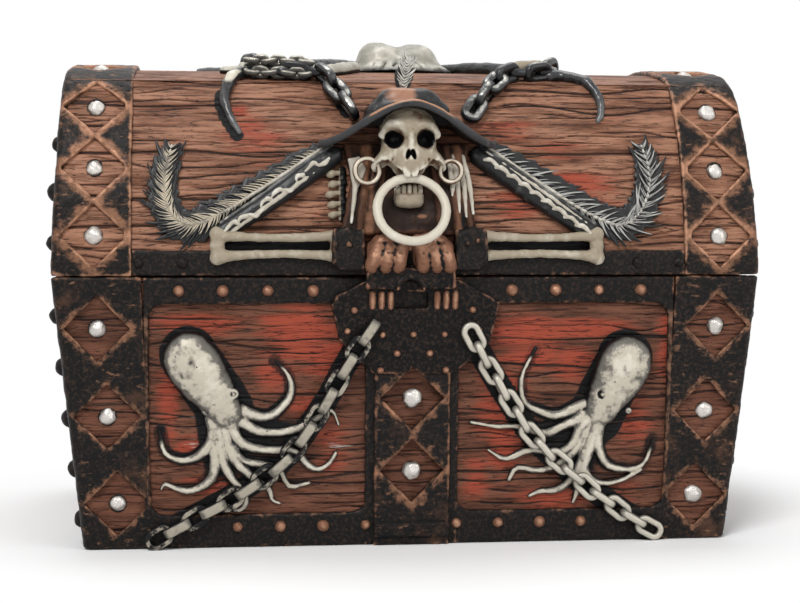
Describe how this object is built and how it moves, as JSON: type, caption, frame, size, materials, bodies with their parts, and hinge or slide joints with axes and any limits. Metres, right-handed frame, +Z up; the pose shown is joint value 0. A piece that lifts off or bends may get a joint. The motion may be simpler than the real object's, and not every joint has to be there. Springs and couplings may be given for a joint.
{
  "type": "treasure chest box",
  "caption": "Small hinged keepsake box shaped like an arched treasure chest with moulded straps, chains, sea creatures and a skull whose mouth holds a swinging ring.",
  "frame": {"origin": "centre of the flat underside", "axes": "+X along the front to the viewer's right, +Y from the front to the back, +Z up"},
  "size_m": [0.1526, 0.1131, 0.1123],
  "materials": {
    "wood_paint": "matte paint over a carved wood grain",
    "slate_paint": "dark paint with copper drybrush",
    "copper_paint": "satin metallic paint, worn",
    "silver_paint": "satin metallic paint, worn",
    "bone_paint": "satin ivory paint with brown washes",
    "black_paint": "satin black paint with pale drybrush",
    "hinge_metal": "bare sheet metal"
  },
  "bodies": {
    "chest": {"base_foot_bands": "slate_paint", "base_rim_bands": "slate_paint", "base_rivets": "copper_paint", "base_shell": "wood_paint", "base_strap_back_left": "slate_paint", "base_strap_back_right": "slate_paint", "base_strap_front_left": "slate_paint", "base_strap_front_right": "slate_paint", "base_studs": "silver_paint", "centre_backing": "slate_paint", "centre_strap": "slate_paint", "front_chain_left": "silver_paint", "front_chain_right": "silver_paint", "hinge_leaf_base_left": "hinge_metal", "hinge_leaf_base_right": "hinge_metal", "hinge_pin_left": "hinge_metal", "hinge_pin_right": "hinge_metal", "lock_fingertips": "copper_paint", "lock_plate": "slate_paint", "lock_rivets": "copper_paint", "octopus_left": "silver_paint", "octopus_right": "silver_paint"},
    "lid": {"coat": "slate_paint", "cuff_left": "slate_paint", "cuff_right": "slate_paint", "earrings": "bone_paint", "forearm_left": "bone_paint", "forearm_right": "bone_paint", "hand_left": "copper_paint", "hand_right": "copper_paint", "hasp": "slate_paint", "hat": "slate_paint", "hat_plume": "black_paint", "hinge_leaf_lid_left": "hinge_metal", "hinge_leaf_lid_right": "hinge_metal", "kraken_arms": "black_paint", "kraken_head": "silver_paint", "lace": "bone_paint", "lapel": "black_paint", "lid_chain_left": "silver_paint", "lid_chain_right": "silver_paint", "lid_rim_bands": "slate_paint", "lid_rivets": "copper_paint", "lid_shell": "wood_paint", "lid_strap_left": "slate_paint", "lid_strap_right": "slate_paint", "lid_studs": "silver_paint", "lower_jaw": "bone_paint", "plume_left": "black_paint", "plume_right": "black_paint", "rib_ends": "bone_paint", "skull": "bone_paint", "upper_arm_left": "black_paint", "upper_arm_right": "black_paint"},
    "ring": {"mouth_ring": "bone_paint"}
  },
  "joints": [
    {"name": "lid_hinge", "type": "hinge", "parent": "chest", "child": "lid", "pos_m": [0, 0.0522, 0.05715], "axis": [-1, 0, 0], "range_deg": [0, 105]},
    {"name": "ring_swing", "type": "hinge", "parent": "lid", "child": "ring", "pos_m": [-0.0009, -0.052, 0.0774], "axis": [-1, 0, 0], "range_deg": [0, 60]}
  ]
}
